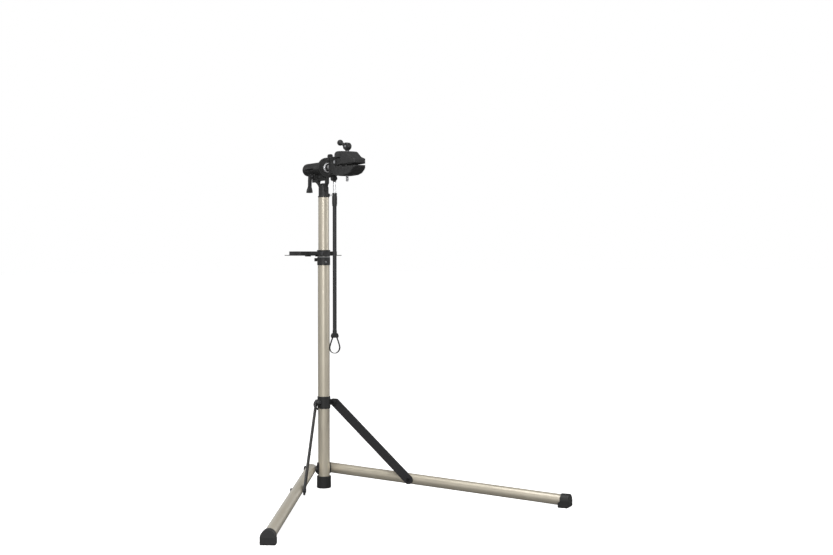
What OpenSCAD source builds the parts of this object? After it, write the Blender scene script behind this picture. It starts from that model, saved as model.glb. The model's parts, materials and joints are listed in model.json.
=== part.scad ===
// Bike repair stand: a telescopic mast on a foot cap and two folding legs, with a tool tray,
// a turning clamp head and a handlebar rod. Millimetres. Origin on the floor, on the mast's axis.
// +Z is up, and +X is the way the clamp jaws point. Left is the +Y side.

/* [Mast] */
// Outside diameter of the lower mast tube
mast_d = 35; // [34.6:0.1:35.4]
// Outside diameter of the upper mast tube
upper_d = 32.3; // [32:0.1:32.4]
// Wall of every tube
tube_wall = 1.2; // [1:0.1:1.3]
// Height of the lower mast tube's top
mast_h = 680; // [670:1:700]
// Height of the clamp head's axis, with the mast lowered
head_h = 956; // [950:1:1000]
// How far the upper mast rises
head_travel = 385; // [200:5:385]
// Diameter of the cap under the mast
foot_d = 42.5; // [41:0.5:45]

/* [Legs] */
// Outside diameter of a leg tube
leg_d = 31; // [30:0.5:32]
// Sideways distance from the mast's axis to a leg's axis
leg_offset = 39.5; // [39.5:0.5:42]
// Angle from the clamp's direction to each leg
leg_angle = 33.5; // [30:0.5:45]
// Distance from the mast to a leg's foot
leg_reach = 750; // [650:5:800]
// Height of a leg's pivot
pivot_h = 55; // [55:1:60]
// Height of a leg's axis at its foot
leg_end_h = 18.8; // [18.8:0.1:20]

/* [Braces] */
// Width of a brace bar
brace_w = 27; // [24:1:28]
// Thickness of a brace bar
brace_t = 4; // [3:0.5:4]
// Distance along the leg from its pivot to the brace
brace_at = 273; // [265:1:280]
// Height of the brace collar's bolts, with the legs open
collar_h = 257; // [254:1:260]

/* [Collars] */
// Outside diameter of the two mast collars
collar_d = 38.6; // [38:0.2:40]
// Height of the brace collar
collar_len = 36; // [32:1:36]

/* [Tool tray] */
// Height of the tray's base plate, with the tray lowered
tray_h = 695; // [695:1:720]
// Width of the tray between its outer walls
tray_w = 130; // [120:1:140]
// Depth of the tray between its outer walls
tray_l = 75; // [70:1:90]
// Height of the tray's walls above its base plate
tray_wall_h = 11; // [8:1:14]
// Width of the rim around the walls
tray_rim = 12; // [11:1:14]
// Diameter of a screwdriver hole in the rim
tool_hole_d = 8; // [6:0.5:8]

/* [Clamp head] */
// Diameter of the turning shaft
shaft_d = 28; // [26:0.5:28]
// Diameter of the barrel that holds the shaft
barrel_d = 38; // [36:0.2:38.4]
// Width of the jaws
jaw_w = 40; // [38:1:44]
// Distance from the mast's axis to the jaws' tips
jaw_tip = 231; // [226:1:236]
// Gap between the closed pads
pad_gap = 3; // [2.4:0.2:4]
// Diameter of the clamp screw
screw_d = 8; // [8:0.5:9]

/* [Handlebar rod] */
// Diameter of the steel rod
rod_d = 9; // [8:0.5:9]
// Diameter of the sliding tube
rod_tube_d = 11.6; // [11.6:0.1:12]
// Height of the sliding tube's lower end
rod_tube_low = 467; // [440:1:480]
// Diameter of the strap loop's round end
strap_d = 35; // [30:1:38]

/* [Hidden] */
$fn = 48;

BLACK = [0.16, 0.16, 0.17];
CHAMPAGNE = [0.80, 0.76, 0.66];
STEEL = [0.75, 0.76, 0.78];
GREY = [0.55, 0.56, 0.57];

run = 0.08;                 // radial clearance of every running fit
touch = 0.1;                // gap between faces that slide past each other
mast_r = mast_d / 2;
upper_r = upper_d / 2;
leg_r = leg_d / 2;
collar_r = collar_d / 2;
shaft_r = shaft_d / 2;
barrel_r = barrel_d / 2;
jaw_y = jaw_w / 2;
screw_r = screw_d / 2;
rod_r = rod_d / 2;

// Legs: everything is built in a frame turned to the leg, x along the leg and y away from the mast.
leg_slope = atan((pivot_h - leg_end_h) / leg_reach);
leg_len = leg_reach / cos(leg_slope);
leg_side = leg_offset - leg_r;                          // the leg's face that looks at the mast
pivot_bolt_r = 4;
boss_r = 11;
cap_len = 25;
cap_wall = 3.4;
sole_back = 5;              // how far the sole reaches behind the cap
sole_h = 14;
brace_x = brace_at * cos(leg_slope);
brace_z = pivot_h - brace_at * sin(leg_slope);

// Braces: a flat bar between the mast and the leg.
brace_y = mast_r + 0.6;
brace_out = brace_y + brace_t;
collar_pin_x = 25;
bolt_r = 3;
bolt_head_r = 6;
lug_r = 8.5;
lug_y = 9;

// Quick-release skewers: an ear pair behind a collar, and a lever on a cross pin.
ear_x = 25;
ear_y = 8;
ear_h = 6;
slot_w = 2.4;
skewer_r = 2.5;
cross_pin_r = 3;
cam_r = 6.4;
cam_y = ear_y + cam_r + touch;
lever_w = 10;

// Mast joints.
height_collar_z = 667;
bush_z = 689.5;
bush_top = bush_z + 3;
height_ear_z = height_collar_z + 16;
upper_low = mast_h - head_travel - 90;
upper_top = head_h - 87;
collar_bottom = collar_h - collar_len / 2 - 0.5;

// Tray.
tray_front = -35;
tray_back = tray_front - tray_l;
plate_t = 2;
tray_wall = 2.5;
tray_mid = (tray_front + tray_back) / 2;
bracket_r = 19.2;
bracket_h = 19;
bracket_z = tray_h - 2;
tray_screw_y = 22;
tray_screw_z = tray_h + 7.5;
tool_hole_x = 22;
set_screw_turn = -36;
tray_boss_r = 9;
tray_boss_y = 17;

// Clamp head, measured from the head's axis.
barrel_back = -105;
disc_r = 30;
disc_x = 29;
shaft_step_r = 12;
shaft_nose_r = 8.5;
ring_x = 38;
ring_l = 4;
ring_r = 12.6;
plate_x = 60;
plate_th = 8;
neck_x = plate_x + plate_th;
hinge_x = 100;
hinge_z = 12;
hinge_r = 3;
tower_y = 7;                // half width of the lower jaw's hinge tower
tower_gap = 0.3;            // clearance between the tower and each cheek
cheek_y = 12;               // half width over the upper jaw's cheeks
neck_y = 11;
screw_x = 154;
screw_gap = 0.6;            // clearance of the screw in the jaws
slot_back = -0.6;           // the upper jaw's slot lets it tilt on the screw: its back and front ends
slot_front = 11;
screw_low = -46.5;
slit_z = -1.5;
jaw_top = 38.5;
pad_x = 158;
flare_rear = 124;
flare_x = 142;
seat_z = slit_z + 1.4;      // top of the lower jaw behind the pads
lead_in = 1.2;              // angle by which the pads open towards the tips
cap_x = 116;
cap_front = 140;
cap_low = 22.5;
cap_top = jaw_top + 2.5;
cap_round = jaw_y / 2 - 0.5;
washer_r = 9;
washer_t = 1.5;
plate_bolt_y = 5.5;
plate_bolt_zs = [-24, 24.5];
web_t = 9;
head_ear_y = 11.5;
head_pin_x = -50;
head_pin_z = -22;
groove_x = -60;
groove_l = 56;
groove_t = 3;
groove_h = 3.6;
hub_z = 54;
knob_z = 66;
crank_turn = -160;
crank_len = 27.5;
arm_r1 = 6.2;
arm_r2 = 4.2;
knob_r = 8.8;
crank_pin_r = 3;

// Handlebar rod.
rod_x = 72.8;
eye_r = 7;
eye_half = 4.5;
eye_z = head_h - 34;
rod_top = eye_z - 11;
sleeve_top = 879;
sleeve_low = 841;
rod_low = 520;
yoke_h = 13;
yoke_slot_y = 7;
strap_drop = 46.5;
strap_t = 2;
strap_half = 4.3;
rod_end_r = 2.6;

// ---------------------------------------------------------------- helpers

// Turns a piece into the left leg's frame (side 1) or its mirror image on the right (side -1).
module leg_frame(side) {
    if (side > 0) rotate([0, 0, leg_angle]) children();
    else mirror([0, 1, 0]) rotate([0, 0, leg_angle]) children();
}

// A leg's own line: x runs down the leg from its pivot.
module leg_line(side) leg_frame(side)
    translate([0, leg_offset, pivot_h]) rotate([0, leg_slope, 0]) children();

// Cylinders along x and along y, from a to b.
module along_x(r, a, b) translate([a, 0, 0]) rotate([0, 90, 0]) cylinder(r = r, h = b - a);
module along_y(r, a, b) translate([0, b, 0]) rotate([90, 0, 0]) cylinder(r = r, h = b - a);

// A tube standing on z = a.
module tube(outer, inner, a, b) difference() {
    translate([0, 0, a]) cylinder(r = outer, h = b - a, $fn = 96);
    translate([0, 0, a - 1]) cylinder(r = inner, h = b - a + 2, $fn = 96);
}

// A flat rectangle with round corners, from its low corner.
module round_rect(w, h, r) translate([r, r]) {
    translate([-r, 0]) square([w, h - 2 * r]);
    translate([0, -r]) square([w - 2 * r, h]);
    for (x = [0, w - 2 * r], y = [0, h - 2 * r]) translate([x, y]) circle(r = r);
}

// Lifts a drawing in the x-z plane to a plate between y = a and y = b.
module plate_xz(a, b) translate([0, b, 0]) rotate([90, 0, 0]) linear_extrude(b - a) children();

// Lifts a drawing in the y-z plane to a plate between x = a and x = b.
module plate_yz(a, b) translate([a, 0, 0]) rotate([90, 0, 90]) linear_extrude(b - a) children();

// Ears behind a collar, with the slot that lets them close and the skewer's hole.
module ear_pair(z)
    translate([-ear_x - 6, -ear_y, z - ear_h]) cube([ear_x + 6 - mast_r, 2 * ear_y, 2 * ear_h]);
module ear_cuts(z, low, high) {
    translate([-ear_x - 8, -slot_w / 2, low]) cube([ear_x, slot_w, high - low]);
    translate([-ear_x, 0, z]) along_y(skewer_r, -ear_y - 1, ear_y + 1);
}

// Skewer along y with a domed nut at one end and a cross pin along x at the other.
module skewer(ear) {
    pin_y = ear + cam_r + touch;
    along_y(skewer_r, -ear - 4, pin_y);
    along_y(5, -ear - 4, -ear);
    translate([0, pin_y, 0]) along_x(cross_pin_r, -6.4, 6.4);
}

// Cam of a quick-release lever: round on the cross pin, open in the middle for the skewer.
module cam_cut() {
    along_x(cross_pin_r + run, -lever_w, lever_w);
    along_x(cam_r + 1.2, -skewer_r - 0.5, skewer_r + 0.5);
}

// Curved lever hanging beside its cross pin, which lies along x at the origin.
module curved_lever(bend_r, last) difference() {
    union() {
        along_x(cam_r, -lever_w / 2, lever_w / 2);
        translate([0, 4, 3.5 - bend_r]) {
            plate_yz(-lever_w / 2, lever_w / 2) intersection() {
                difference() {
                    circle(r = bend_r + 2);
                    circle(r = bend_r - 2);
                }
                polygon([[0, 0], [-1, 99], [99, 99], [99, 99 * tan(last)]]);
            }
            translate([0, bend_r * cos(last), bend_r * sin(last)]) sphere(r = 3.8);
        }
    }
    cam_cut();
}

// ---------------------------------------------------------------- lower mast

module lower_mast_tube() color(CHAMPAGNE) difference() {
    tube(mast_r, mast_r - tube_wall, 4, mast_h);
    translate([0, 0, pivot_h + 3.5]) along_x(bolt_r, -mast_r - 1, -mast_r + 3);
}

module mast_foot_cap() color(BLACK) rotate_extrude($fn = 96) {
    r = foot_d / 2;
    top = 36;
    floor_t = 4;
    polygon([
        [0, 0], [r - 1.8, 0], [r - 0.5, 0.7], [r, 2.2], [r, top - 1.2], [r - 1, top],
        [mast_r, top], [mast_r, floor_t], [0, floor_t]
    ]);
}

module leg_bracket() color(BLACK) difference() {
    union() {
        difference() {
            tube(mast_r + 3.6, mast_r, pivot_h - 13, pivot_h + 20);
            linear_extrude(200) polygon([[0, 0], [9, 64], [60, 64], [60, -64], [9, -64]]);
        }
        for (side = [-1, 1]) leg_frame(side) translate([0, 0, pivot_h])
            along_y(boss_r, mast_r - 3, leg_side - 0.2);
    }
    cylinder(r = mast_r, h = 200, $fn = 96);
    for (side = [-1, 1]) leg_frame(side) translate([0, 0, pivot_h])
        along_y(pivot_bolt_r, mast_r - 5, leg_side + 1);
    translate([0, 0, pivot_h + 3.5]) along_x(bolt_r, -40, -mast_r + 1);
}

module bracket_bolt() color(STEEL) translate([0, 0, pivot_h + 3.5]) {
    along_x(bolt_r, -mast_r - 3.6, -mast_r + 4.2);
    along_x(5.5, -mast_r - 6.6, -mast_r - 3.6);
    translate([-mast_r + tube_wall + 1, 0, 0]) rotate([0, 90, 0]) cylinder(r = 5.5, h = 2, $fn = 6);
}

module leg_pivot_bolts() color(STEEL) for (side = [-1, 1])
    leg_frame(side) translate([0, 0, pivot_h]) along_y(pivot_bolt_r, mast_r + 0.6, leg_offset + leg_r + 3);

module pivot_caps() color(BLACK) for (side = [-1, 1]) leg_frame(side)
    translate([0, leg_offset + leg_r + 0.3, pivot_h]) rotate([-90, 0, 0]) rotate_extrude()
    polygon([
        [pivot_bolt_r, 0], [10, 0], [10, 2.4], [8.6, 4.4], [5.5, 5.7], [0, 6.2], [0, 2.7], [pivot_bolt_r, 2.7]
    ]);

// ---------------------------------------------------------------- height collar

module height_collar() color(BLACK) difference() {
    union() {
        translate([0, 0, height_collar_z]) cylinder(r = collar_r, h = bush_z - height_collar_z, $fn = 96);
        leg_frame(-1) ear_pair(height_ear_z);
    }
    translate([0, 0, 600]) cylinder(r = mast_r, h = 200, $fn = 96);
    leg_frame(-1) ear_cuts(height_ear_z, height_collar_z - 1, bush_z + 1);
    rotate([0, 0, -9]) translate([0, 0, height_collar_z + 9]) along_x(1.6, mast_r - 2, collar_r + 2);
}

module height_collar_bush() color(GREY) {
    tube(mast_r, upper_r + run, mast_h, bush_z);
    tube(collar_r - 0.6, upper_r + run, bush_z, bush_top);
}

module height_skewer() color(STEEL)
    leg_frame(-1) translate([-ear_x, 0, height_ear_z]) rotate([0, -90, 0]) skewer(ear_y);

module height_collar_screw() color(STEEL) rotate([0, 0, -9]) translate([0, 0, height_collar_z + 9]) {
    along_x(1.6, mast_r, collar_r);
    along_x(3.4, collar_r, collar_r + 1.8);
}

module height_lever() color(BLACK) leg_frame(-1)
    translate([-ear_x, cam_y, height_ear_z]) rotate([0, -90, 0]) curved_lever(10, -55);

// ---------------------------------------------------------------- brace collar

module brace_collar() color(BLACK) difference() {
    union() {
        translate([0, 0, collar_bottom]) cylinder(r = collar_r, h = collar_len, $fn = 96);
        leg_frame(-1) ear_pair(collar_h);
        for (side = [-1, 1]) leg_frame(side) plate_xz(lug_y, brace_y - touch) {
            translate([collar_pin_x, collar_h]) circle(r = lug_r);
            translate([8, collar_h - lug_r]) square([collar_pin_x - 8, 2 * lug_r]);
        }
    }
    cylinder(r = mast_r + run, h = 400, $fn = 96);
    leg_frame(-1) ear_cuts(collar_h, 0, 400);
    for (side = [-1, 1]) leg_frame(side)
        translate([collar_pin_x, 0, collar_h]) along_y(bolt_r, lug_y - 1, brace_y + 1);
}

module brace_skewer() color(STEEL) leg_frame(-1) translate([-ear_x, 0, collar_h]) skewer(ear_y);

module brace_collar_bolts() color(STEEL) for (side = [-1, 1]) leg_frame(side)
    translate([collar_pin_x, 0, collar_h]) {
        along_y(bolt_r, lug_y - 3, brace_out + touch);
        translate([0, brace_out + touch, 0]) rotate([-90, 0, 0]) cylinder(r = bolt_head_r, h = 2.6);
        translate([0, lug_y - 3, 0]) rotate([-90, 0, 0]) cylinder(r = 5, h = 3, $fn = 6);
    }

module brace_collar_lever() color(BLACK) leg_frame(-1)
    translate([-ear_x, cam_y, collar_h]) curved_lever(14, -80);

// ---------------------------------------------------------------- legs

// The shape a leg tube or its plug keeps at the round end: a half disc around the pivot, then straight.
module leg_outline(length) {
    along_y(leg_r, -leg_r, leg_r, $fn = 96);
    translate([0, -leg_r, -leg_r]) cube([length, leg_d, leg_d]);
}

module leg_tube(side) color(CHAMPAGNE) leg_line(side) difference() {
    intersection() {
        along_x(leg_r, -leg_r, leg_len + 7, $fn = 96);
        leg_outline(leg_len + 7);
    }
    along_x(leg_r - tube_wall, -leg_d, leg_len + 8, $fn = 96);
    along_y(pivot_bolt_r + run, -leg_d, leg_d);
    translate([brace_at, 0, 0]) along_y(bolt_r, -leg_d, leg_d);
}

module leg_plug(side) color(BLACK) leg_line(side) difference() {
    intersection() {
        along_x(leg_r - tube_wall, -leg_r, 45, $fn = 96);
        leg_outline(45);
    }
    along_y(pivot_bolt_r + run, -leg_d, leg_d);
}

// Foot cap: an arch with a flat sole, its front face leaning back at the top.
module foot_cap(side) color(BLACK) difference() {
    r = leg_r + cap_wall;
    back = leg_reach - cap_len / 2;
    front = leg_reach + cap_len / 2;
    leg_frame(side) intersection() {
        translate([0, leg_offset, 0]) plate_yz(back - sole_back, front) {
            translate([0, leg_end_h]) circle(r = r, $fn = 96);
            translate([-r, 0]) square([2 * r, leg_end_h]);
        }
        plate_xz(0, 2 * leg_offset) polygon([
            [back - sole_back, 0], [front - 3, 0], [front, 3], [front, leg_end_h], [front - 4, 60],
            [back, 60], [back, sole_h + 2], [back - sole_back, sole_h]
        ]);
    }
    leg_line(side) along_x(leg_r, -10, leg_len + 7, $fn = 96);
}

// The brace bolt's leg half: a stud through the leg with a nut on the outer side.
module brace_nut(side) color(STEEL) leg_line(side) translate([brace_at, 0, 0]) {
    along_y(bolt_r, brace_out + 0.4 - leg_offset, leg_r + 5);
    translate([0, leg_r, 0]) rotate([-90, 0, 0]) cylinder(r = 6.4, h = 4.6, $fn = 6);
}

// ---------------------------------------------------------------- braces

// Flat bar whose upper end is cut level where it meets the collar's lug.
module brace_bar(side) color(BLACK) leg_frame(side) plate_xz(brace_y, brace_out) difference() {
    run_x = brace_x - collar_pin_x;
    run_z = brace_z - collar_h;
    intersection() {
        translate([collar_pin_x, collar_h]) rotate(atan2(run_z, run_x)) {
            translate([0, -brace_w / 2]) square([norm([run_x, run_z]), brace_w]);
            circle(r = brace_w / 2 - 2);
            translate([norm([run_x, run_z]), 0]) circle(r = brace_w / 2);
        }
        translate([collar_pin_x - 10, -200]) square([400, collar_h + 209.7]);
    }
    translate([collar_pin_x, collar_h]) circle(r = bolt_r + run);
    translate([brace_x, brace_z]) circle(r = bolt_r);
}

// The brace bolt's brace half: a round head on the inner face and a short shank.
module brace_bolt(side) color(STEEL) leg_frame(side) translate([brace_x, 0, brace_z]) {
    along_y(bolt_head_r, brace_y - 2.8, brace_y);
    along_y(bolt_r, brace_y, brace_out + 0.2);
}

// ---------------------------------------------------------------- upper mast and head casting

module upper_mast_tube() color(CHAMPAGNE) tube(upper_r, upper_r - tube_wall, upper_low, upper_top);

module upper_mast_plug() color(BLACK) {
    translate([0, 0, upper_low - 5]) cylinder(r = mast_r - tube_wall - run, h = 5, $fn = 96);
    translate([0, 0, upper_low]) cylinder(r = upper_r - tube_wall, h = 25, $fn = 96);
}

// The web between the neck and the barrel: a rectangle with a hollow curve under each arm.
module head_web() difference() {
    translate([-70, -68]) square([70 + disc_x, 68]);
    translate([-61, -85]) circle(r = 46, $fn = 96);
    translate([44, -64]) circle(r = 24, $fn = 96);
    translate([-25, -46.5]) square([37, 9.5]);
    for (x = [-25, 12]) translate([x, -41.75]) circle(r = 4.75);
}

module head_casting() color(BLACK) translate([0, 0, head_h]) difference() {
    union() {
        translate([0, 0, upper_top - head_h - 50]) cylinder(r = upper_r - tube_wall, h = 50, $fn = 96);
        translate([0, 0, upper_top - head_h]) cylinder(r = upper_r + 0.7, h = 4, $fn = 96);
        translate([0, 0, upper_top - head_h]) cylinder(r = 15, h = 30, $fn = 96);
        translate([0, 0, upper_top - head_h + 30]) cylinder(r1 = 15, r2 = 7, h = 12, $fn = 96);
        plate_xz(-web_t / 2, web_t / 2) head_web();
        along_x(barrel_r, barrel_back, 20, $fn = 96);
        rotate([0, 90, 0]) cylinder(r1 = barrel_r - 1, r2 = disc_r, h = 20, $fn = 96);
        along_x(disc_r, 20, disc_x, $fn = 96);
        translate([head_pin_x - 11, -head_ear_y, head_pin_z - 8]) cube([22, 2 * head_ear_y, 16]);
        rotate([0, 0, 60]) translate([0, 0, upper_top - head_h + 7]) along_x(4.5, 5, 18.5);
    }
    along_x(shaft_r + run, barrel_back - 1, disc_x + 1, $fn = 96);
    translate([barrel_back - 1, -slot_w / 2, -34]) cube([66, slot_w, 34]);
    translate([head_pin_x, 0, head_pin_z]) along_y(skewer_r, -13, 13);
    for (side = [-1, 1]) translate([groove_x, side * barrel_r, -2])
        cube([groove_l, 2 * groove_t, groove_h], center = true);
    rotate([0, 0, 60]) translate([0, 0, upper_top - head_h + 7]) along_x(2, 3, 30);
}

module head_end_cap() color(BLACK)
    translate([barrel_back, 0, head_h]) rotate([0, -90, 0]) rotate_extrude($fn = 96)
    polygon([[0, 0], [barrel_r, 0], [barrel_r, 1.5], [barrel_r - 1.2, 4.4], [barrel_r - 4.2, 6.4], [0, 7.5]]);

module head_skewer() color(STEEL)
    translate([head_pin_x, 0, head_h + head_pin_z]) mirror([0, 1, 0]) skewer(head_ear_y);

module head_screw() color(STEEL) rotate([0, 0, 60]) translate([0, 0, upper_top + 7]) {
    along_x(1.95, 4, 18.6);
    along_x(3.2, 18.6, 20.5);
    along_x(1.4, 20.5, 25);
}

// Straight lever with a waist and a flared end, closed when it hangs down.
module head_lever() color(BLACK)
    translate([head_pin_x, -head_ear_y - cam_r - touch, head_h + head_pin_z]) mirror([0, 1, 0]) difference() {
        union() {
            along_x(cam_r, -lever_w / 2, lever_w / 2);
            intersection() {
                plate_xz(-6, 12) polygon([
                    [-6, 2], [-6, -14], [-5, -24], [-5, -34], [-8.4, -43], [-8.8, -50],
                    [8.8, -50], [8.4, -43], [5, -34], [5, -24], [6, -14], [6, 2]
                ]);
                plate_yz(-9, 9) polygon([
                    [-2, 0], [-1, -12], [-0.5, -30], [-2, -43], [-2, -50],
                    [11, -50], [11, -43], [8, -30], [6.4, 0]
                ]);
            }
        }
        cam_cut();
    }

// ---------------------------------------------------------------- tool tray

module tray_body() color(BLACK) difference() {
    rim_l = tray_l + 2 * tray_rim;
    rim_w = tray_w + 2 * tray_rim;
    union() {
        translate([tray_back - tray_rim, -rim_w / 2, tray_h])
            linear_extrude(plate_t) round_rect(rim_l, rim_w, 14);
        translate([tray_back, -tray_w / 2, tray_h]) linear_extrude(plate_t + tray_wall_h) difference() {
            round_rect(tray_l, tray_w, 8);
            translate([tray_wall, tray_wall])
                round_rect(tray_l - 2 * tray_wall, tray_w - 2 * tray_wall, 8 - tray_wall);
        }
        translate([tray_back, -1, tray_h]) cube([tray_l, 2, plate_t + tray_wall_h - 4]);
        for (side = [-1, 1]) translate([tray_mid, side * tray_boss_y, tray_h - 2.5])
            cylinder(r = tray_boss_r, h = 3);
    }
    for (side = [-1, 1], x = [-tool_hole_x, tool_hole_x])
        translate([tray_mid + x, side * (tray_w + tray_rim) / 2, tray_h - 1])
            cylinder(d = tool_hole_d, h = 9);
    for (side = [-1, 1]) translate([0, side * tray_screw_y, tray_screw_z])
        along_x(2, tray_front - 4, tray_front + 1);
}

// Ring around the upper mast, with two ribs that spread to the tray's front wall.
module tray_bracket() color(BLACK) difference() {
    foot_x = tray_front + 4;
    rib_x = foot_x + 4;
    union() {
        translate([0, 0, bracket_z]) cylinder(r = bracket_r, h = bracket_h, $fn = 96);
        translate([0, 0, bracket_z + bracket_h - 3]) cylinder(r = bracket_r + 0.8, h = 2, $fn = 96);
        translate([0, 0, tray_h + 3]) linear_extrude(7.5) difference() {
            polygon([[0, -18], [foot_x, -34], [foot_x, 34], [0, 18]]);
            polygon([[-21, 0], [rib_x, -11], [rib_x, 11]]);
            for (side = [-1, 1]) polygon([[-21, side * 5], [rib_x, side * 15], [rib_x, side * 27]]);
        }
        translate([tray_front, -34, tray_h + plate_t + 0.2]) cube([4, 68, 10]);
        rotate([0, 0, set_screw_turn]) translate([0, 0, tray_screw_z]) along_x(5, 17, bracket_r + 3);
    }
    translate([0, 0, bracket_z - 1]) cylinder(r = upper_r + run, h = bracket_h + 2, $fn = 96);
    rotate([0, 0, set_screw_turn]) translate([0, 0, tray_screw_z]) along_x(2.5, 10, 40);
    for (side = [-1, 1]) translate([0, side * tray_screw_y, tray_screw_z]) {
        along_x(2, tray_front - 1, tray_front + 5);
        along_x(3.8, foot_x, foot_x + 2.2);
    }
}

module tray_screws() color(STEEL) for (side = [-1, 1]) translate([0, side * tray_screw_y, tray_screw_z]) {
    along_x(2, tray_front - 3.5, tray_front + 4);
    along_x(3.6, tray_front + 4, tray_front + 6);
}

module tray_set_screw() color(STEEL)
    rotate([0, 0, set_screw_turn]) translate([0, 0, tray_screw_z]) difference() {
    union() {
        along_x(2.5, upper_r + 0.3, bracket_r + 3);
        along_x(3.9, bracket_r + 3, bracket_r + 6.5);
    }
    translate([bracket_r + 4.5, 0, 0]) rotate([0, 90, 0]) cylinder(r = 1.9, h = 4, $fn = 6);
}

// ---------------------------------------------------------------- clamp head

module clamp_shaft() color(STEEL) translate([0, 0, head_h]) difference() {
    union() {
        along_x(shaft_r, barrel_back + 3, disc_x - 0.5, $fn = 96);
        along_x(shaft_step_r, disc_x - 0.5, ring_x, $fn = 96);
        along_x(shaft_nose_r, ring_x, plate_x, $fn = 96);
        along_x(6, plate_x, neck_x + 14);
    }
    along_x(9, barrel_back, disc_x - 10, $fn = 96);
}

module index_ring() color(BLACK) translate([0, 0, head_h]) difference() {
    along_x(ring_r, ring_x, ring_x + ring_l, $fn = 96);
    along_x(shaft_nose_r, ring_x - 1, ring_x + ring_l + 1, $fn = 96);
    for (i = [0:11]) rotate([i * 30 + 15, 0, 0])
        translate([ring_x + ring_l - 2, -1, ring_r - 0.8]) cube([3, 2, 2]);
}

module flange_plate() color(BLACK) translate([0, 0, head_h]) difference() {
    plate_yz(plate_x, neck_x) {
        translate([-13, -30]) round_rect(26, 60, 9);
        translate([-17, 14]) round_rect(14, 23, 5);
        translate([-7, -41]) round_rect(14, 20, 6);
    }
    along_x(6, plate_x - 1, neck_x + 1);
    translate([0, -10, 29]) along_x(2.3, plate_x - 1, neck_x + 1);
    for (z = plate_bolt_zs) translate([0, plate_bolt_y, z]) along_x(2.5, plate_x - 1, neck_x + 1);
    translate([0, 0, eye_z - head_h]) along_x(bolt_r, plate_x - 1, neck_x + 1);
}

module plate_bolts() color(STEEL) for (z = plate_bolt_zs) translate([0, plate_bolt_y, head_h + z]) {
    along_x(2.5, plate_x, neck_x + 3);
    translate([neck_x + 3, 0, 0]) rotate([0, 90, 0]) cylinder(r = 4.2, h = 3.4, $fn = 6);
    along_x(4.2, plate_x - 2.4, plate_x);
}

// Lower jaw: flange and neck on the plate, hinge tower, and a jaw that widens to its full width.
module lower_jaw() color(BLACK) translate([0, 0, head_h]) difference() {
    union() {
        plate_yz(neck_x, neck_x + 3) intersection() {
            translate([-12, -29]) round_rect(24, 59, 8);
            translate([-12, -26.8]) square([24, 70]);
        }
        translate([neck_x, -neck_y, -19.6]) cube([30, 2 * neck_y, 33.6]);
        intersection() {
            plate_xz(-jaw_y, jaw_y) polygon([
                [neck_x + 12, seat_z], [neck_x + 12, -25], [130, -30.5], [186, -30.5], [207, -26],
                [222, -17], [jaw_tip, -8], [jaw_tip, slit_z - 4], [pad_x - 1, slit_z - 4], [pad_x - 1, seat_z]
            ]);
            translate([0, 0, -60]) linear_extrude(80) polygon([
                [neck_x, -neck_y], [flare_rear, -neck_y], [flare_x, -jaw_y], [jaw_tip - 4, -jaw_y],
                [jaw_tip, -jaw_y + 4], [jaw_tip, jaw_y - 4], [jaw_tip - 4, jaw_y], [flare_x, jaw_y],
                [flare_rear, neck_y], [neck_x, neck_y]
            ]);
        }
        plate_xz(-tower_y, tower_y) {
            translate([hinge_x, hinge_z]) circle(r = 9);
            translate([neck_x + 8, -6]) square([hinge_x - neck_x - 8, 27]);
        }
    }
    for (side = [-1, 1]) translate([hinge_x - 11.5, side * (tower_y + 6) - 6, seat_z]) cube([50, 12, 60]);
    translate([hinge_x, 0, hinge_z]) along_y(hinge_r, -20, 20);
    along_x(6, neck_x - 1, neck_x + 14);
    for (z = plate_bolt_zs) translate([0, plate_bolt_y, z]) along_x(2.5, neck_x - 1, neck_x + 4);
    translate([screw_x, 0, -60]) cylinder(r = screw_r + screw_gap, h = 99);
    translate([screw_x, 0, -40]) cylinder(r = 7.6, h = 16.5, $fn = 6);
}

// Rubber pad: a strip with cross grooves and a lead-in at the tip. Its working face is at z = 0.
module pad() difference() {
    x0 = pad_x + 2;
    translate([x0, -jaw_y + 0.6, 0]) cube([jaw_tip - 3 - x0, jaw_w - 1.2, 4 - pad_gap / 2]);
    translate([jaw_tip - 30, -30, 0]) rotate([0, -lead_in, 0]) translate([0, 0, -5]) cube([50, 60, 5]);
    for (x = [x0 + 6 : 8 : jaw_tip - 34]) translate([x, -30, -0.1]) cube([2, 60, 0.9]);
}

module lower_pad() color(BLACK) translate([0, 0, head_h + slit_z - pad_gap / 2]) mirror([0, 0, 1]) pad();

module upper_pad() color(BLACK) translate([0, 0, head_h + slit_z + pad_gap / 2]) pad();

module jaw_pin() color(STEEL) translate([hinge_x, 0, head_h + hinge_z]) {
    seat = cheek_y + 0.6;
    along_y(hinge_r, -seat, seat);
    along_y(5, seat, seat + 2.2);
    along_y(5, -seat - 2.2, -seat);
}

module clamp_nut() color(STEEL) translate([screw_x, 0, head_h - 30]) difference() {
    cylinder(r = 7.5, h = 6.4, $fn = 6);
    translate([0, 0, -1]) cylinder(r = screw_r + run, h = 9);
}

module hanger_bolt() color(STEEL) translate([0, 0, eye_z]) {
    along_x(bolt_r, plate_x, rod_x + 5.2);
    along_x(5, plate_x - 2.5, plate_x);
    along_x(5.4, rod_x + 5.2, rod_x + 8);
}

// Half of the upper jaw's cap, seen along the jaw, with a round shoulder.
module cap_half() {
    h = cap_top - cap_low;
    square([jaw_y - cap_round, h]);
    square([jaw_y, h - cap_round]);
    translate([jaw_y - cap_round, h - cap_round]) circle(r = cap_round);
}

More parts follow.
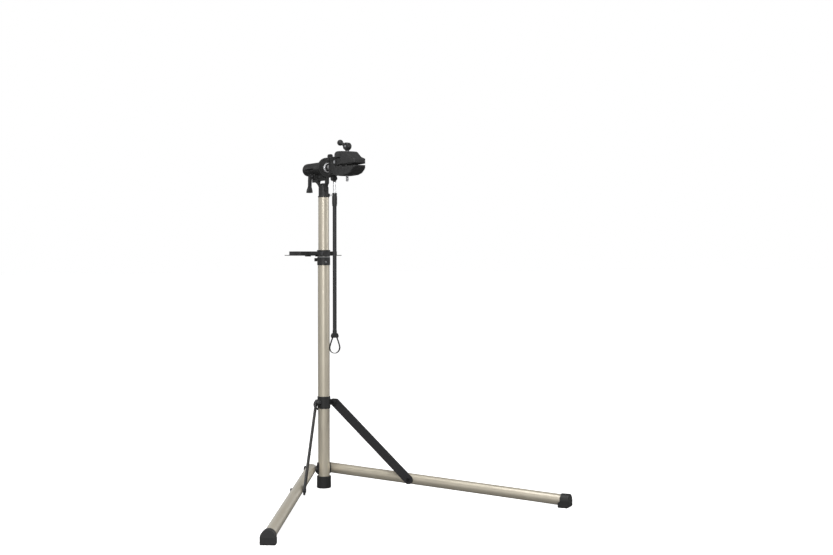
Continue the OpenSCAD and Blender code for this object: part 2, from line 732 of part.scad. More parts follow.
// Upper jaw: side cheeks on the pin, a domed cap over them, and a nose that slopes to the tip.
module upper_jaw() color(BLACK) translate([0, 0, head_h]) difference() {
    union() {
        plate_xz(-jaw_y, jaw_y) polygon([
            [flare_x + 4, slit_z + 4], [jaw_tip, slit_z + 4], [jaw_tip, 12], [226, 15], [204, 21],
            [181, jaw_top - 2], [176, jaw_top], [cap_front, jaw_top], [cap_front, cap_low],
            [flare_x + 4, cap_low]
        ]);
        translate([cap_x, 0, cap_low]) rotate_extrude($fn = 96) cap_half();
        plate_yz(cap_x, cap_front) translate([0, cap_low]) {
            cap_half();
            mirror([1, 0]) cap_half();
        }
        plate_xz(-cheek_y, cheek_y) {
            translate([112, slit_z + 4]) square([50, 26]);
            translate([hinge_x, hinge_z]) circle(r = 8);
            translate([hinge_x, hinge_z - 8]) square([20, 24]);
        }
    }
    translate([0, -tower_y - tower_gap, -20]) cube([hinge_x + 11, 2 * (tower_y + tower_gap), 60]);
    translate([hinge_x, 0, hinge_z]) along_y(hinge_r + run, -30, 30);
    for (x = [slot_back, slot_front]) translate([screw_x + x, 0, -20])
        cylinder(r = screw_r + screw_gap, h = 80);
    translate([screw_x + slot_back, -screw_r - screw_gap, -20])
        cube([slot_front - slot_back, screw_d + 2 * screw_gap, 80]);
    for (turn = [0, 1]) mirror([0, turn, 0])
        translate([jaw_tip - 4, jaw_y, -20]) rotate([0, 0, -45]) cube([12, 12, 80]);
}

module thrust_washer() color(STEEL) translate([screw_x, 0, head_h + jaw_top]) difference() {
    cylinder(r = washer_r, h = washer_t);
    translate([0, 0, -1]) cylinder(r = screw_r + run, h = 5);
}

// ---------------------------------------------------------------- crank

module clamp_screw() color(STEEL) translate([screw_x, 0, head_h + screw_low])
    cylinder(r = screw_r, h = hub_z - 6 - screw_low);

// The crank's own frame: origin in the hub's centre, x the way the arm points.
module crank_frame() translate([screw_x, 0, head_h + hub_z]) rotate([0, 0, crank_turn]) children();

// The arm's rod, from the hub's centre into the knob.
module crank_rod() {
    rise = knob_z - hub_z;
    rotate([0, 90 - atan2(rise, crank_len), 0])
        cylinder(r1 = arm_r1, r2 = arm_r2, h = norm([rise, crank_len]) - 4);
}

// Round hub on the screw and an arm that rises to the ball knob.
module crank_arm() color(BLACK) crank_frame() difference() {
    union() {
        along_y(11, -7, 7);
        along_y(9.6, -8.4, 8.4);
        translate([0, 0, washer_t + jaw_top + touch - hub_z]) cylinder(r = 6, h = 10);
        crank_rod();
    }
    translate([0, 0, -30]) cylinder(r = screw_r, h = 24);
    along_y(crank_pin_r, -9, 9);
}

module crank_knob() color(BLACK) crank_frame() difference() {
    translate([crank_len, 0, knob_z - hub_z]) sphere(r = knob_r);
    crank_rod();
}

module crank_pin() color(STEEL) crank_frame() along_y(crank_pin_r, -8.8, 8.8);

// ---------------------------------------------------------------- handlebar rod

module rod_inner() color(STEEL) {
    translate([rod_x, 0, rod_low]) cylinder(r = rod_r, h = rod_top - rod_low);
    rod_end_pin();
}

// The rod's thinner end, which sits in the end fitting.
module rod_end_pin() translate([rod_x, 0, rod_top]) cylinder(r = rod_end_r, h = 6.4);

// End fitting pressed on the rod, with the eye for the hanger bolt.
module rod_eye() color(BLACK) difference() {
    union() {
        translate([0, 0, eye_z]) along_x(eye_r, rod_x - eye_half, rod_x + eye_half);
        translate([rod_x, 0, rod_top]) cylinder(r = rod_r + 0.1, h = eye_z - rod_top);
    }
    rod_end_pin();
    translate([0, 0, eye_z]) along_x(bolt_r + run, rod_x - 20, rod_x + 20);
}

module rod_tube() color(BLACK)
    translate([rod_x, 0, 0]) tube(rod_tube_d / 2, rod_r + 0.4, rod_tube_low, sleeve_low);

// Ribbed twist sleeve at the top of the sliding tube.
module rod_lock_sleeve() color(BLACK) translate([rod_x, 0, 0]) difference() {
    union() {
        tube(7, rod_r + run, sleeve_low, sleeve_top);
        for (i = [0:11]) rotate([0, 0, i * 30])
            translate([6.4, -0.6, sleeve_low + 5]) cube([1.1, 1.2, 24]);
    }
    translate([0, 0, sleeve_low + 30]) tube(9, 6.4, 0, 1.2);
}

// Cross bar that the strap's ends hang from.
module rod_yoke() color(BLACK) translate([rod_x, 0, rod_tube_low - yoke_h]) difference() {
    union() {
        plate_yz(-6, 6) polygon([[-9, 0], [-10.5, 5], [-7.5, yoke_h], [7.5, yoke_h], [10.5, 5], [9, 0]]);
        cylinder(r = 6.4, h = yoke_h + 8);
    }
    translate([0, 0, yoke_h]) cylinder(r = rod_tube_d / 2, h = 20);
    for (side = [-1, 1]) translate([-4.5, side * yoke_slot_y - 1.1, -1]) cube([9, 2.2, 8]);
}

// Strap outline: a round end with two straight sides that close in towards the yoke.
module strap_outline(r, top) {
    centre = strap_d / 2 - strap_drop;
    tangent = atan2(-centre, top) - acos(r / norm([top, centre]));
    side = r * cos(tangent);
    low = centre + r * sin(tangent);
    translate([0, centre]) circle(r = r, $fn = 96);
    polygon([[-top, 0], [-side, low], [0, centre], [side, low], [top, 0]]);
}

module strap() color(BLACK)
    translate([rod_x, 0, rod_tube_low - yoke_h - 0.3]) plate_yz(-strap_half, strap_half) difference() {
    strap_outline(strap_d / 2, yoke_slot_y + strap_t / 2);
    strap_outline(strap_d / 2 - strap_t, yoke_slot_y - strap_t / 2);
}

// ---------------------------------------------------------------- assembly

lower_mast_tube();
mast_foot_cap();
leg_bracket();
bracket_bolt();
leg_pivot_bolts();
pivot_caps();
height_collar();
height_collar_bush();
height_skewer();
height_collar_screw();
height_lever();
brace_collar();
brace_skewer();
brace_collar_bolts();
brace_collar_lever();
leg_tube(1);  // leg_tube_left
leg_plug(1);  // leg_plug_left
foot_cap(1);  // foot_cap_left
brace_nut(1);  // brace_nut_left
leg_tube(-1);  // leg_tube_right
leg_plug(-1);  // leg_plug_right
foot_cap(-1);  // foot_cap_right
brace_nut(-1);  // brace_nut_right
brace_bar(1);  // brace_bar_left
brace_bolt(1);  // brace_bolt_left
brace_bar(-1);  // brace_bar_right
brace_bolt(-1);  // brace_bolt_right
upper_mast_tube();
upper_mast_plug();
head_casting();
head_end_cap();
head_skewer();
head_screw();
head_lever();
tray_body();
tray_bracket();
tray_screws();
tray_set_screw();
clamp_shaft();
index_ring();
flange_plate();
plate_bolts();
lower_jaw();
lower_pad();
jaw_pin();
clamp_nut();
hanger_bolt();
upper_jaw();
upper_pad();
thrust_washer();
clamp_screw();
crank_arm();
crank_knob();
crank_pin();
rod_inner();
rod_eye();
rod_tube();
rod_lock_sleeve();
rod_yoke();
strap();
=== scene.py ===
import json
import math

import bmesh
import bpy
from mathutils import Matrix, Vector


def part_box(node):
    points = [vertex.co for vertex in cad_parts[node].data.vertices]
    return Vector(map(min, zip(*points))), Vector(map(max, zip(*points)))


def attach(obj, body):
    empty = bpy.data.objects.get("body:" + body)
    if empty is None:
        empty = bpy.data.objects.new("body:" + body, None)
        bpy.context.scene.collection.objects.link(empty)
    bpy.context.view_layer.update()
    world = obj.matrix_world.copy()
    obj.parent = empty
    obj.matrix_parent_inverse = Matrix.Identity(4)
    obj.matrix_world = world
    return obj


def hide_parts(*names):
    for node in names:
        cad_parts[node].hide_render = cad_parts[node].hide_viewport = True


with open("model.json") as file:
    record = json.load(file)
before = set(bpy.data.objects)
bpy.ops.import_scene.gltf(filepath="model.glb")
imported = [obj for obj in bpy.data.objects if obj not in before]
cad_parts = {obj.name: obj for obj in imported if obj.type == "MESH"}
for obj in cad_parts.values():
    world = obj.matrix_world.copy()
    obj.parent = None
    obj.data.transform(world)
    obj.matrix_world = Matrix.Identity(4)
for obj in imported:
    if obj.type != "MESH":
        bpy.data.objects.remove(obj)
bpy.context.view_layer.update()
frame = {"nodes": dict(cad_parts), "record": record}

MM = 0.001


# ---------------------------------------------------------------- sizes read from the frame

def span(node):
    """Lowest corner, highest corner and middle of a CAD node."""
    low, high = (Vector(v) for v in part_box(node))
    return low, high, (low + high) / 2


SCREW = span("clamp_screw")[2]
JAW_TIP = span("upper_jaw")[1].x
JAW_HALF = (span("upper_jaw")[1].y - span("upper_jaw")[0].y) / 2
HEAD_Z = span("clamp_shaft")[2].z
BARREL_R = (span("head_end_cap")[1].z - span("head_end_cap")[0].z) / 2

BROAD_CAST = 0.7 * MM       # remesh of the castings
FINE_CAST = 0.5 * MM        # remesh of the levers and the crank
JAW_CROWN = 9 * MM          # height over which a jaw's outer face rounds
CROWN_DROP = 2.5 * MM       # how far that face falls away at the jaw's sides
CAP_SWELL = 1.5 * MM        # rise of the upper jaw's domed cap
SCREW_CLEAR = 6 * MM        # flat left around the clamp screw
GROOVE_X = -60 * MM         # middle of the grooves along the barrel's sides
GROOVE_BELOW = 2 * MM       # how far the grooves lie under the barrel's axis
GROOVE_LENGTH = 56 * MM
GROOVE_HALF = 2.4 * MM
GROOVE_DEPTH = 2 * MM
SLOT_Y = 7 * MM             # the yoke's slots for the strap: distance from the middle, and depth
SLOT_DEPTH = 5 * MM
STRAP_HALF = 4.9 * MM       # half of the strap's width
STRAP_THICK = 1.0 * MM      # half of its thickness
THREAD_DEPTH = 0.4 * MM
THREAD_LEAD = 5 * MM        # lift of one turn of the crank
THREAD_STARTS = 2


# ---------------------------------------------------------------- material parts

class Look:
    """A node material: a Principled shader, with helpers that add noise, bump and edge wear to it."""

    def __init__(self, name, color, metallic, roughness):
        self.mat = bpy.data.materials.new(name)
        self.mat.use_nodes = True
        self.tree = self.mat.node_tree
        self.shader = self.tree.nodes["Principled BSDF"]
        self.shader.inputs["Base Color"].default_value = (*color, 1)
        self.shader.inputs["Metallic"].default_value = metallic
        self.shader.inputs["Roughness"].default_value = roughness
        self.mat.diffuse_color = (*color, 1)
        self.coords = self.add("ShaderNodeTexCoord").outputs["Object"]

    def add(self, kind, **values):
        node = self.tree.nodes.new(kind)
        for key, value in values.items():
            setattr(node, key, value)
        return node

    def link(self, source, target):
        self.tree.links.new(source, target)

    def stretched(self, scale):
        """Object coordinates, scaled per axis."""
        mapping = self.add("ShaderNodeMapping")
        mapping.inputs["Scale"].default_value = scale
        self.link(self.coords, mapping.inputs["Vector"])
        return mapping.outputs["Vector"]

    def noise(self, scale, detail=3.0, stretch=(1, 1, 1)):
        node = self.add("ShaderNodeTexNoise")
        node.inputs["Scale"].default_value = scale
        node.inputs["Detail"].default_value = detail
        self.link(self.stretched(stretch), node.inputs["Vector"])
        return node.outputs["Fac"]

    def ramp(self, source, low, high, start=0.0, end=1.0):
        """Maps source from start..end to low..high."""
        node = self.add("ShaderNodeMapRange")
        for key, value in (("From Min", start), ("From Max", end), ("To Min", low), ("To Max", high)):
            node.inputs[key].default_value = value
        self.link(source, node.inputs["Value"])
        return node.outputs["Result"]

    def mix(self, factor, first, second):
        """first and second are colours or sockets."""
        node = self.add("ShaderNodeMix", data_type="RGBA")
        self.link(factor, node.inputs[0])
        for socket, value in ((node.inputs[6], first), (node.inputs[7], second)):
            if isinstance(value, tuple):
                socket.default_value = (*value, 1)
            else:
                self.link(value, socket)
        return node.outputs[2]

    def edges(self, radius):
        """1 on an edge, 0 on a flat face."""
        bevel = self.add("ShaderNodeBevel", samples=4)
        bevel.inputs["Radius"].default_value = radius
        face = self.add("ShaderNodeNewGeometry")
        dot = self.add("ShaderNodeVectorMath", operation="DOT_PRODUCT")
        self.link(bevel.outputs["Normal"], dot.inputs[0])
        self.link(face.outputs["Normal"], dot.inputs[1])
        return self.ramp(dot.outputs["Value"], 1.0, 0.0, 0.8, 0.99)

    def color(self, socket):
        self.link(socket, self.shader.inputs["Base Color"])

    def roughness(self, socket):
        self.link(socket, self.shader.inputs["Roughness"])

    def bump(self, height, strength, distance):
        node = self.add("ShaderNodeBump")
        node.inputs["Strength"].default_value = strength
        node.inputs["Distance"].default_value = distance
        self.link(height, node.inputs["Height"])
        previous = self.shader.inputs["Normal"].links
        if previous:
            self.link(previous[0].from_socket, node.inputs["Normal"])
        self.link(node.outputs["Normal"], self.shader.inputs["Normal"])


def champagne_tube():
    """Satin champagne coat on tube: faint mottling, a fine metallic grain and light handling marks."""
    look = Look("champagne_tube", (0.68, 0.62, 0.50), 0.45, 0.42)
    cloud = look.ramp(look.noise(9, 2), 0, 1, 0.35, 0.65)
    look.color(look.mix(cloud, (0.65, 0.59, 0.475), (0.71, 0.65, 0.525)))
    look.roughness(look.ramp(look.noise(60, 4), 0.40, 0.52, 0.3, 0.7))
    look.shader.inputs["Coat Weight"].default_value = 0.75
    look.shader.inputs["Coat Roughness"].default_value = 0.25
    look.bump(look.noise(3500, 2), 0.12, 0.00004)
    look.bump(look.noise(40, 3, (1, 1, 0.15)), 0.02, 0.0002)
    return look.mat


def moulded_black(name, shade, low, high, grain):
    """Moulded black plastic: spark-eroded grain, faint colour drift and paler edges."""
    look = Look(name, (shade, shade, shade * 1.03), 0.0, 0.5)
    drift = look.ramp(look.noise(14, 3), 0, 1, 0.3, 0.7)
    look.shader.inputs["Specular IOR Level"].default_value = 0.32
    body = look.mix(drift, (shade * 0.85,) * 3, (shade * 1.2,) * 3)
    rubbed = look.edges(0.0007)
    look.color(look.mix(rubbed, body, (shade * 1.7, shade * 1.7, shade * 1.75)))
    look.roughness(look.ramp(look.noise(90, 4), low, high, 0.3, 0.7))
    look.bump(look.noise(2200, 4), grain, 0.0001)
    return look.mat


def black_paint():
    """Satin black paint on steel: orange peel and slightly worn edges."""
    look = Look("black_paint", (0.03, 0.03, 0.032), 0.0, 0.48)
    look.shader.inputs["Specular IOR Level"].default_value = 0.28
    look.color(look.mix(look.edges(0.0006), (0.036, 0.036, 0.038), (0.08, 0.08, 0.083)))
    look.roughness(look.ramp(look.noise(70, 3), 0.42, 0.54, 0.3, 0.7))
    look.bump(look.noise(520, 2), 0.12, 0.0002)
    return look.mat


def zinc_hardware():
    """Zinc plated fastener: cool grey with cloudy passivation and fine turning marks."""
    look = Look("zinc_hardware", (0.50, 0.51, 0.53), 1.0, 0.32)
    cloud = look.ramp(look.noise(160, 3), 0, 1, 0.3, 0.7)
    look.color(look.mix(cloud, (0.40, 0.41, 0.43), (0.60, 0.60, 0.61)))
    look.roughness(look.ramp(look.noise(300, 4), 0.24, 0.42, 0.3, 0.7))
    look.bump(look.noise(1800, 3), 0.10, 0.00006)
    return look.mat


def black_hardware():
    """Black zinc fastener: oily, a little uneven, with bright metal showing on its edges."""
    look = Look("black_hardware", (0.03, 0.03, 0.032), 0.7, 0.4)
    look.color(look.mix(look.edges(0.0004), (0.028, 0.028, 0.030), (0.16, 0.16, 0.165)))
    look.roughness(look.ramp(look.noise(250, 4), 0.32, 0.5, 0.3, 0.7))
    look.bump(look.noise(1600, 3), 0.10, 0.00006)
    return look.mat


def bright_steel():
    """Ground and plated steel rod: fine lines around it and a few dull patches."""
    look = Look("bright_steel", (0.80, 0.80, 0.82), 0.6, 0.3)
    cloud = look.ramp(look.noise(30, 3), 0, 1, 0.3, 0.7)
    look.color(look.mix(cloud, (0.74, 0.745, 0.76), (0.86, 0.86, 0.87)))
    look.roughness(look.ramp(look.noise(120, 5), 0.26, 0.38, 0.35, 0.7))
    look.bump(look.noise(2600, 2, (1, 1, 0.2)), 0.05, 0.00002)
    return look.mat


def grey_nylon():
    """Grey nylon bush: waxy, with a fine grain."""
    look = Look("grey_nylon", (0.20, 0.205, 0.21), 0.0, 0.45)
    look.color(look.mix(look.noise(60, 3), (0.17, 0.175, 0.18), (0.24, 0.245, 0.25)))
    look.roughness(look.ramp(look.noise(200, 3), 0.38, 0.52))
    look.shader.inputs["Subsurface Weight"].default_value = 0.1
    look.shader.inputs["Subsurface Radius"].default_value = (0.001, 0.001, 0.001)
    look.bump(look.noise(1500, 3), 0.10, 0.00008)
    return look.mat


def black_rubber():
    """Matt black rubber with a dusty bloom."""
    look = Look("black_rubber", (0.016, 0.016, 0.016), 0.0, 0.8)
    bloom = look.ramp(look.noise(80, 5), 0, 1, 0.45, 0.8)
    look.color(look.mix(bloom, (0.013, 0.013, 0.013), (0.035, 0.034, 0.033)))
    look.roughness(look.ramp(look.noise(150, 3), 0.68, 0.9))
    look.bump(look.noise(1200, 5), 0.25, 0.0002)
    return look.mat


def strap_webbing():
    """Woven black webbing: ribs across the strap, crossed by finer warp threads, from its UV map."""
    look = Look("strap_webbing", (0.022, 0.022, 0.024), 0.0, 0.8)
    uv = look.add("ShaderNodeUVMap", uv_map="weave").outputs["UV"]
    ribs = look.add("ShaderNodeTexWave", wave_type="BANDS", bands_direction="X")
    ribs.inputs["Scale"].default_value = 260
    warp = look.add("ShaderNodeTexWave", wave_type="BANDS", bands_direction="Y")
    warp.inputs["Scale"].default_value = 420
    for wave in (ribs, warp):
        wave.inputs["Distortion"].default_value = 0.6
        look.link(uv, wave.inputs["Vector"])
    weave = look.add("ShaderNodeMath", operation="MULTIPLY")
    look.link(ribs.outputs["Fac"], weave.inputs[0])
    look.link(warp.outputs["Fac"], weave.inputs[1])
    look.color(look.mix(weave.outputs[0], (0.010, 0.010, 0.011), (0.045, 0.045, 0.048)))
    look.roughness(look.ramp(look.noise(400, 3), 0.7, 0.92))
    look.shader.inputs["Sheen Weight"].default_value = 0.1
    look.bump(weave.outputs[0], 0.5, 0.0003)
    return look.mat


LOOKS = {
    "champagne_tube": champagne_tube(),
    "black_plastic": moulded_black("black_plastic", 0.032, 0.42, 0.56, 0.18),
    "black_paint": black_paint(),
    "zinc_hardware": zinc_hardware(),
    "black_hardware": black_hardware(),
    "bright_steel": bright_steel(),
    "grey_nylon": grey_nylon(),
    "black_rubber": black_rubber(),
    "strap_webbing": strap_webbing(),
}
SLOT_OF = {part["node"]: part["material_slot"] for part in frame["record"]["subparts"]}
BODY_OF = {
    node: body for body, nodes in frame["record"]["behaviour"]["bodies"].items() for node in nodes
}


# ---------------------------------------------------------------- finishing

def paint(obj, slot):
    obj.data.materials.clear()
    obj.data.materials.append(LOOKS[slot])


def smooth(obj, angle=35):
    obj.data.shade_smooth()
    obj.data.set_sharp_from_angle(angle=math.radians(angle))


def round_edges(obj, width, angle=40, segments=2):
    bevel = obj.modifiers.new("rounded edges", "BEVEL")
    bevel.width = width
    bevel.segments = segments
    bevel.limit_method = "ANGLE"
    bevel.angle_limit = math.radians(angle)
    bevel.harden_normals = True
    bevel.use_clamp_overlap = True


EDGE = 0.4 * MM         # rounding of a machined or pressed edge
MOULDED_EDGES = {       # larger roundings of moulded pieces
    "mast_foot_cap": 1.0 * MM,
    "foot_cap_left": 1.8 * MM,
    "foot_cap_right": 1.8 * MM,
    "height_collar": 0.8 * MM,
    "brace_collar": 0.8 * MM,
    "leg_bracket": 0.8 * MM,
    "tray_body": 0.7 * MM,
    "tray_bracket": 0.8 * MM,
    "rod_yoke": 1.0 * MM,
    "brace_bar_left": 0.7 * MM,
    "brace_bar_right": 0.7 * MM,
}


def carry_over(node):
    """A CAD node that stays: its own material, smooth shading and rounded edges."""
    obj = frame["nodes"][node]
    paint(obj, SLOT_OF[node])
    smooth(obj)
    low, high, _ = span(node)
    thin = min(high - low)
    round_edges(obj, min(MOULDED_EDGES.get(node, EDGE), thin * 0.08))


def stand_for(obj, *nodes):
    """obj takes the place of CAD nodes that ride on one body and share one finish."""
    paint(obj, SLOT_OF[nodes[0]])
    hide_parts(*nodes)
    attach(obj, BODY_OF[nodes[0]])
    return obj


def new_object(name, mesh):
    obj = bpy.data.objects.new(name, mesh)
    bpy.context.scene.collection.objects.link(obj)
    return obj


def from_bmesh(name, bm):
    bmesh.ops.recalc_face_normals(bm, faces=bm.faces)
    mesh = bpy.data.meshes.new(name)
    bm.to_mesh(mesh)
    bm.free()
    return new_object(name, mesh)


def apply_modifiers(obj):
    """Turns obj's modifiers into plain mesh."""
    graph = bpy.context.evaluated_depsgraph_get()
    mesh = bpy.data.meshes.new_from_object(obj.evaluated_get(graph))
    obj.modifiers.clear()
    obj.data = mesh


def cast(node, voxel, passes):
    """A moulded or cast piece with soft fillets: a fine remesh of the CAD node, relaxed until
    its corners round."""
    mesh = frame["nodes"][node].data.copy()
    obj = new_object(node + "_moulded", mesh)
    remesh = obj.modifiers.new("remesh", "REMESH")
    remesh.mode = "VOXEL"
    remesh.voxel_size = voxel
    relax = obj.modifiers.new("relax", "SMOOTH")
    relax.factor = 0.5
    relax.iterations = passes
    apply_modifiers(obj)
    obj.data.shade_smooth()
    return stand_for(obj, node)


def crown(obj, middle_z, height, drop, toward):
    """Rounds a moulded jaw's long outer edges: in front of the screw its outer face falls away towards
    both sides by drop."""
    fade = JAW_TIP - SCREW.x
    for vertex in obj.data.vertices:
        up = (vertex.co.z - middle_z) * toward / height
        front = 2 * (vertex.co.x - SCREW.x) / fade
        if up > 0 and front > 0:
            side = min(1.0, abs(vertex.co.y) / JAW_HALF)
            vertex.co.z -= toward * drop * min(1.0, up) ** 2 * side ** 4 * min(1.0, front)


def dome(obj, low_z):
    """Swells the cap behind the screw, so that its top is a shallow dome."""
    rear = span("upper_jaw")[0].x
    top = span("upper_jaw")[1].z
    front = SCREW.x - SCREW_CLEAR
    for vertex in obj.data.vertices:
        along = (vertex.co.x - rear) / (front - rear)
        up = (vertex.co.z - low_z) / (top - low_z)
        if 0 < along < 1 and up > 0:
            side = min(1.0, abs(vertex.co.y) / JAW_HALF)
            swell = math.sin(math.pi * along ** 0.7)
            vertex.co.z += CAP_SWELL * min(1.0, up) * swell * (1 - 0.4 * side ** 4)


def deepen_grooves(obj):
    """Presses the barrel's two side grooves in, with a round bottom."""
    middle_x, middle_z = GROOVE_X, HEAD_Z - GROOVE_BELOW
    for vertex in obj.data.vertices:
        off = max(0.0, abs(vertex.co.x - middle_x) - GROOVE_LENGTH / 2 + GROOVE_HALF)
        reach = math.hypot(off, vertex.co.z - middle_z) / GROOVE_HALF
        if reach < 1 and abs(vertex.co.y) > BARREL_R / 2:
            vertex.co.y -= math.copysign(GROOVE_DEPTH * (1 - reach ** 2), vertex.co.y)


def skin(rows):
    """A closed bmesh through rows of points, each row a loop."""
    bm = bmesh.new()
    rings = [[bm.verts.new(point) for point in row] for row in rows]
    count = len(rings[0])
    for low, high in zip(rings, rings[1:]):
        for i in range(count):
            j = (i + 1) % count
            bm.faces.new((low[i], low[j], high[j], high[i]))
    bm.faces.new(rings[0])
    bm.faces.new(list(reversed(rings[-1])))
    return bm


# ---------------------------------------------------------------- handlebar rod's strap

def strap():
    """Webbing loop: its two ends come down out of the yoke's slots, part, and meet around the bottom."""
    low, high, middle = span("strap")
    yoke_low = span("rod_yoke")[0].z
    radius = (high.y - low.y) / 2 - STRAP_THICK
    centre_z = low.z + radius + STRAP_THICK
    drop = yoke_low - centre_z
    lean = math.atan2(drop, SLOT_Y) - math.acos(radius / math.hypot(SLOT_Y, drop))
    path = [(SLOT_Y, yoke_low + SLOT_DEPTH), (SLOT_Y, yoke_low)]
    side_y = radius * math.cos(lean)
    side_z = centre_z + radius * math.sin(lean)
    straight_steps = 8
    belly = 0.5 * MM
    for i in range(1, straight_steps):
        t = i / straight_steps
        bulge = math.sin(math.pi * t) * belly
        path.append((SLOT_Y + (side_y - SLOT_Y) * t + bulge, yoke_low + (side_z - yoke_low) * t))
    arc_steps = 20
    for i in range(arc_steps + 1):
        angle = lean - (lean + math.pi / 2) * i / arc_steps
        path.append((radius * math.cos(angle), centre_z + radius * math.sin(angle)))
    path += [(-y, z) for y, z in reversed(path[:-1])]

    rows = []
    lengths = [0.0]
    edge = Vector((STRAP_HALF, 0, 0))
    shoulder = edge * 0.72          # where the flat faces end and the rounded edges begin
    for i, (y, z) in enumerate(path):
        before = path[max(i - 1, 0)]
        after = path[min(i + 1, len(path) - 1)]
        along = Vector((0, after[0] - before[0], after[1] - before[1])).normalized()
        out = Vector((0, -along.z, along.y)) * STRAP_THICK
        spot = Vector((middle.x, y, z))
        rows.append([
            spot - shoulder - out, spot + shoulder - out, spot + edge,
            spot + shoulder + out, spot - shoulder + out, spot - edge,
        ])
        if i:
            lengths.append(lengths[-1] + math.dist(path[i - 1], (y, z)))
    bm = skin(rows)
    weave = bm.loops.layers.uv.new("weave")
    bm.verts.index_update()
    count = len(rows[0])
    for face in bm.faces:
        for loop in face.loops:
            index = loop.vert.index
            loop[weave].uv = (lengths[index // count], loop.vert.co.x - middle.x)
    obj = from_bmesh("strap_loop", bm)
    smooth(obj, 50)
    obj.modifiers.new("rounding", "SUBSURF").render_levels = 2
    return stand_for(obj, "strap")


# ---------------------------------------------------------------- clamp screw

def clamp_screw():
    """Threaded screw: a two-start thread whose lead is the lift of one turn, with a narrower low end."""
    low, high, middle = span("clamp_screw")
    outer = (high.x - low.x) / 2
    step = 0.25 * MM
    chamfer = 1.2 * MM
    tip_scale = 0.82                # the low end's radius, as a share of the full one
    flank = 1.6                     # steepness of the thread's flanks
    sides = 40
    rows = []
    z = low.z
    while z <= high.z:
        tip = min(1.0, (z - low.z) / chamfer)
        row = []
        for i in range(sides):
            turn = i / sides
            phase = (z / THREAD_LEAD - turn) * THREAD_STARTS
            ridge = 1 - abs((phase % 1) * 2 - 1)
            cut = THREAD_DEPTH * (1 - min(1.0, ridge * flank))
            radius = (outer - cut) * (tip_scale + (1 - tip_scale) * tip)
            angle = turn * math.tau
            row.append((middle.x + radius * math.cos(angle), radius * math.sin(angle), z))
        rows.append(row)
        z += step
    obj = from_bmesh("clamp_screw_thread", skin(rows))
    smooth(obj, 60)
    return stand_for(obj, "clamp_screw")


# ---------------------------------------------------------------- stage

def camera_only(look, seen, hidden):
    """A shader that the camera sees as seen, and light bounces from as hidden."""
    path = look.add("ShaderNodeLightPath")
    mix = look.add("ShaderNodeMixShader")
    look.link(path.outputs["Is Camera Ray"], mix.inputs[0])
    look.link(hidden, mix.inputs[1])
    look.link(seen, mix.inputs[2])
    return mix.outputs[0]


FLOOR_HALF = 40.0
FLOOR_GLOW = 0.92           # lifts the floor to white for the camera
FLOOR_BOUNCE = 0.20         # how pale the floor is for the light it throws on the stand


def build_stage():
    """Plain pale floor. It gives the stand little bounced light, so the undersides stay dark."""
    mesh = bpy.data.meshes.new("floor")
    half = FLOOR_HALF
    corners = [(-half, -half, 0), (half, -half, 0), (half, half, 0), (-half, half, 0)]
    mesh.from_pydata(corners, [], [(0, 1, 2, 3)])
    floor = new_object("floor", mesh)
    look = Look("studio_floor", (0.80, 0.80, 0.80), 0.0, 0.9)
    look.roughness(look.ramp(look.noise(3, 2), 0.85, 0.95))
    look.shader.inputs["Emission Color"].default_value = (1, 1, 1, 1)
    look.shader.inputs["Emission Strength"].default_value = FLOOR_GLOW
    dim = look.add("ShaderNodeBsdfDiffuse")
    dim.inputs["Color"].default_value = (FLOOR_BOUNCE, FLOOR_BOUNCE, FLOOR_BOUNCE, 1)
    output = look.tree.nodes["Material Output"]
    look.link(camera_only(look, look.shader.outputs[0], dim.outputs[0]), output.inputs["Surface"])
    floor.data.materials.append(look.mat)


def area_light(name, place, target, size, power):
    data = bpy.data.lights.new(name, "AREA")
    data.shape = "RECTANGLE"
    data.size, data.size_y = size
    data.energy = power
    lamp = bpy.data.objects.new(name, data)
    lamp.location = place
    lamp.rotation_euler = (Vector(target) - Vector(place)).to_track_quat("-Z", "Y").to_euler()
    bpy.context.scene.collection.objects.link(lamp)


# Brightness of the sky that lights the stand, as (height, brightness): 0 is straight down, 0.5 is level.
SKY = ((0.36, 0.24), (0.49, 0.72), (0.58, 0.76), (0.72, 0.05))


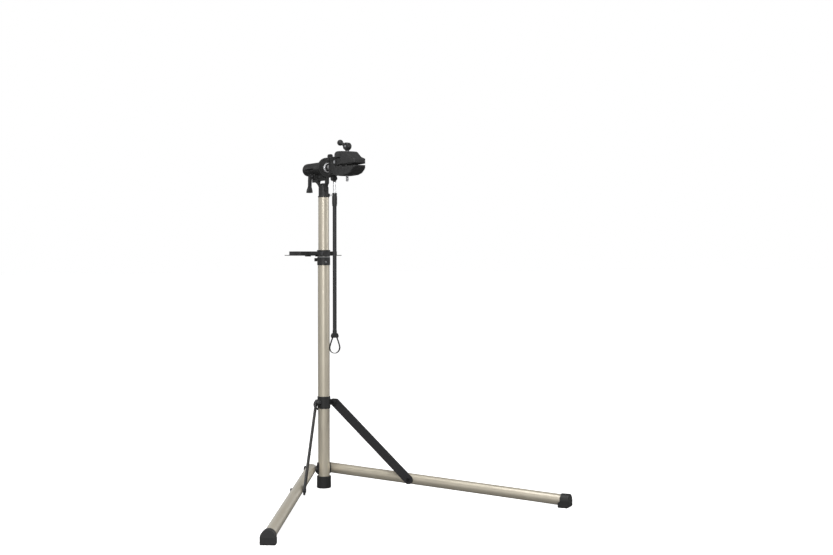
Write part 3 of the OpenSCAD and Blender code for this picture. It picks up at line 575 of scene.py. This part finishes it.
def build_light():
    """White backdrop for the camera, a dimmer sky for the object, and three soft boxes."""
    world = bpy.data.worlds.new("studio")
    bpy.context.scene.world = world
    world.use_nodes = True
    tree = world.node_tree
    sky = tree.nodes["Background"]
    sky.inputs["Color"].default_value = (1, 1, 1, 1)
    path = tree.nodes.new("ShaderNodeLightPath")
    direction = tree.nodes.new("ShaderNodeTexCoord")
    height = tree.nodes.new("ShaderNodeSeparateXYZ")
    tree.links.new(direction.outputs["Generated"], height.inputs[0])
    upward = tree.nodes.new("ShaderNodeMapRange")
    upward.inputs["From Min"].default_value = -1
    tree.links.new(height.outputs["Z"], upward.inputs["Value"])
    shade = tree.nodes.new("ShaderNodeValToRGB")
    bands = shade.color_ramp.elements
    while len(bands) < len(SKY):
        bands.new(0.5)
    for band, (place, grey) in zip(bands, SKY):
        band.position = place
        band.color = (grey, grey, grey, 1)
    tree.links.new(upward.outputs["Result"], shade.inputs["Fac"])
    strength = tree.nodes.new("ShaderNodeMix")
    tree.links.new(path.outputs["Is Camera Ray"], strength.inputs[0])
    tree.links.new(shade.outputs["Color"], strength.inputs[2])
    strength.inputs[3].default_value = 1.0
    tree.links.new(strength.outputs[0], sky.inputs["Strength"])
    middle = (0.1, 0, 0.55)         # about the middle of the stand
    area_light("key", (2.7, -1.9, 1.4), middle, (1.1, 1.8), 45)
    area_light("side", (1.4, 2.6, 1.4), middle, (0.6, 1.4), 16)
    area_light("top", (0.7, -0.6, 3.3), middle, (1.8, 1.8), 64)


CAMERA_PLACE = (3.4094, -1.6784, 0.700)
CAMERA_LOOK = (-0.8624, 0.5059, -0.0185)
CAMERA_LENS = 54.8


def build_camera():
    data = bpy.data.cameras.new("camera")
    data.sensor_width = 36
    data.lens = CAMERA_LENS
    camera = bpy.data.objects.new("camera", data)
    camera.location = CAMERA_PLACE
    camera.rotation_euler = Vector(CAMERA_LOOK).to_track_quat("-Z", "Y").to_euler()
    bpy.context.scene.collection.objects.link(camera)
    bpy.context.scene.camera = camera


for node_name in frame["nodes"]:
    carry_over(node_name)

deepen_grooves(cast("head_casting", BROAD_CAST, 4))
lower_jaw = cast("lower_jaw", BROAD_CAST, 4)
upper_jaw = cast("upper_jaw", BROAD_CAST, 5)
crown(upper_jaw, span("upper_jaw")[1].z - JAW_CROWN, JAW_CROWN, CROWN_DROP, 1)
dome(upper_jaw, span("jaw_pin")[1].z)
crown(lower_jaw, span("lower_jaw")[0].z + JAW_CROWN, JAW_CROWN, CROWN_DROP / 2, -1)
for node_name in ("head_lever", "height_lever", "brace_collar_lever", "crank_arm"):
    cast(node_name, FINE_CAST, 3)
strap()
clamp_screw()

build_stage()
build_light()
build_camera()
bpy.context.scene.view_settings.view_transform = "Standard"
